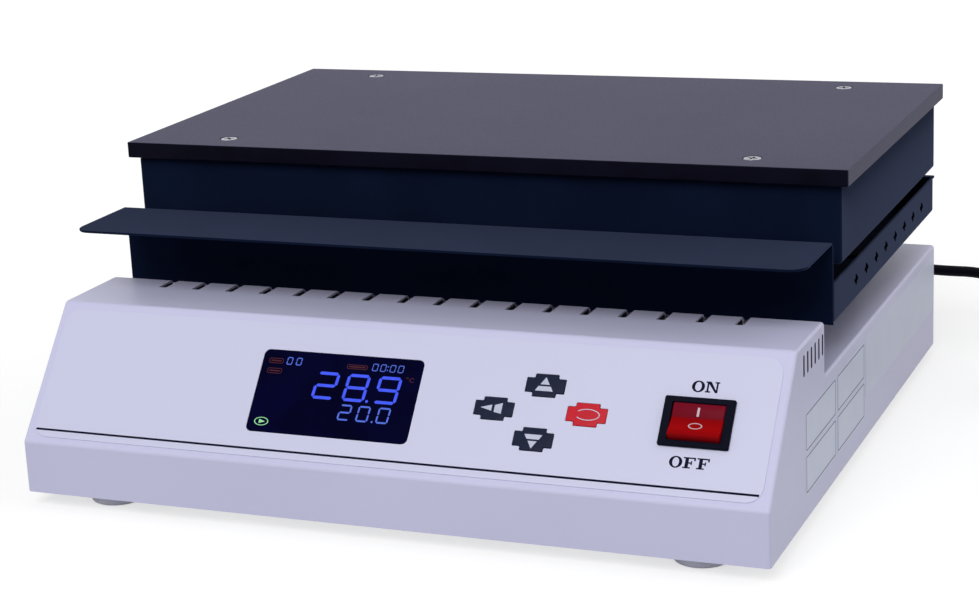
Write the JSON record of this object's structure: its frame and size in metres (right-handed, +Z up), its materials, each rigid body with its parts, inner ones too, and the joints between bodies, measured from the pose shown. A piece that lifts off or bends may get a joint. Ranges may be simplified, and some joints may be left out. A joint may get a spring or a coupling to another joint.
{
  "type": "graphite hot plate",
  "caption": "Laboratory hot plate: a wide graphite plate over a vented dark heater housing, on a white case with a sloped panel of keys, display and rocker switch.",
  "frame": {"origin": "on the surface that the hot plate stands on, under the middle of its width and depth, the mains lead left out", "axes": "+X to the user's right, +Y to the back, +Z up"},
  "size_m": [0.5379, 0.4309, 0.1625],
  "materials": {
    "white_paint": "satin",
    "dark_paint": "satin",
    "graphite": "matt",
    "zinc_steel": "satin",
    "bright_steel": "polished",
    "grey_rubber": "matt",
    "black_rubber": "matt",
    "overlay_film": "satin",
    "smoked_window": "gloss",
    "black_plastic": "satin",
    "red_plastic": "gloss",
    "navy_key": "satin",
    "red_key": "satin",
    "board_green": "satin",
    "grey_plastic": "satin",
    "cream_plastic": "satin",
    "brass_plate": "satin",
    "insulation": "matt",
    "heater_sheath": "matt",
    "cast_aluminium": "satin",
    "wire_red": "satin",
    "wire_blue": "satin",
    "iron_core": "matt"
  },
  "bodies": {
    "housing": {"case_cover": "white_paint", "base_plate": "zinc_steel", "base_screws": "bright_steel", "foot_fl": "grey_rubber", "foot_fr": "grey_rubber", "foot_rl": "grey_rubber", "foot_rr": "grey_rubber", "foot_screws": "bright_steel", "foot_nuts": "bright_steel", "front_overlay": "overlay_film", "display_window": "smoked_window", "lcd_module": "grey_plastic", "control_board": "board_green", "board_posts": "brass_plate", "board_screws": "bright_steel", "key_switches": "grey_plastic", "switch_body": "black_plastic", "switch_tabs": "brass_plate", "deck_post_fl": "zinc_steel", "deck_post_fr": "zinc_steel", "deck_post_rl": "zinc_steel", "deck_post_rr": "zinc_steel", "deck_screws": "bright_steel", "lower_tray": "dark_paint", "tray_screws": "bright_steel", "front_shield": "dark_paint", "wire_conduit": "zinc_steel", "upper_shroud": "dark_paint", "inner_pan": "zinc_steel", "plate_pillars": "zinc_steel", "pillar_screws": "bright_steel", "insulation_board": "insulation", "heater_front": "heater_sheath", "heater_rear": "heater_sheath", "clamp_sheet": "zinc_steel", "heater_plate": "cast_aluminium", "temp_probe": "bright_steel", "graphite_plate": "graphite", "plate_screws": "bright_steel", "heater_leads": "wire_red", "switch_leads": "wire_blue", "terminal_block": "cream_plastic", "heat_sink": "cast_aluminium", "relay": "cream_plastic", "power_board": "board_green", "transformer": "iron_core", "fuse_holder": "black_plastic", "fuse_link": "bright_steel", "strain_relief": "black_rubber", "power_cord": "black_rubber", "cord_coil": "black_rubber", "cord_tie": "grey_plastic", "plug_body": "black_rubber", "plug_pins": "brass_plate"},
    "rocker": {"rocker": "red_plastic"},
    "key_up": {"key_up": "navy_key"},
    "key_left": {"key_left": "navy_key"},
    "key_down": {"key_down": "navy_key"},
    "key_set": {"key_set": "red_key"},
    "fuse_cap": {"fuse_cap": "black_plastic"}
  },
  "joints": [
    {"name": "rocker_tilt", "type": "hinge", "parent": "housing", "child": "rocker", "pos_m": [0.1548, -0.15912, 0.06409], "axis": [1, 0, 0], "range_deg": [0, 20]},
    {"name": "key_up_press", "type": "slide", "parent": "housing", "child": "key_up", "axis": [0, 0.7677, -0.6408], "range_m": [0, 0.0005], "stiffness_N_per_m": 2000, "springref_m": -0.0003},
    {"name": "key_left_press", "type": "slide", "parent": "housing", "child": "key_left", "axis": [0, 0.7677, -0.6408], "range_m": [0, 0.0005], "stiffness_N_per_m": 2000, "springref_m": -0.0003},
    {"name": "key_down_press", "type": "slide", "parent": "housing", "child": "key_down", "axis": [0, 0.7677, -0.6408], "range_m": [0, 0.0005], "stiffness_N_per_m": 2000, "springref_m": -0.0003},
    {"name": "key_set_press", "type": "slide", "parent": "housing", "child": "key_set", "axis": [0, 0.7677, -0.6408], "range_m": [0, 0.0005], "stiffness_N_per_m": 2000, "springref_m": -0.0003},
    {"name": "fuse_cap_turn", "type": "hinge", "parent": "housing", "child": "fuse_cap", "pos_m": [0.095, 0.18, 0.042], "axis": [0, 1, 0], "range_deg": [0, 90]}
  ]
}
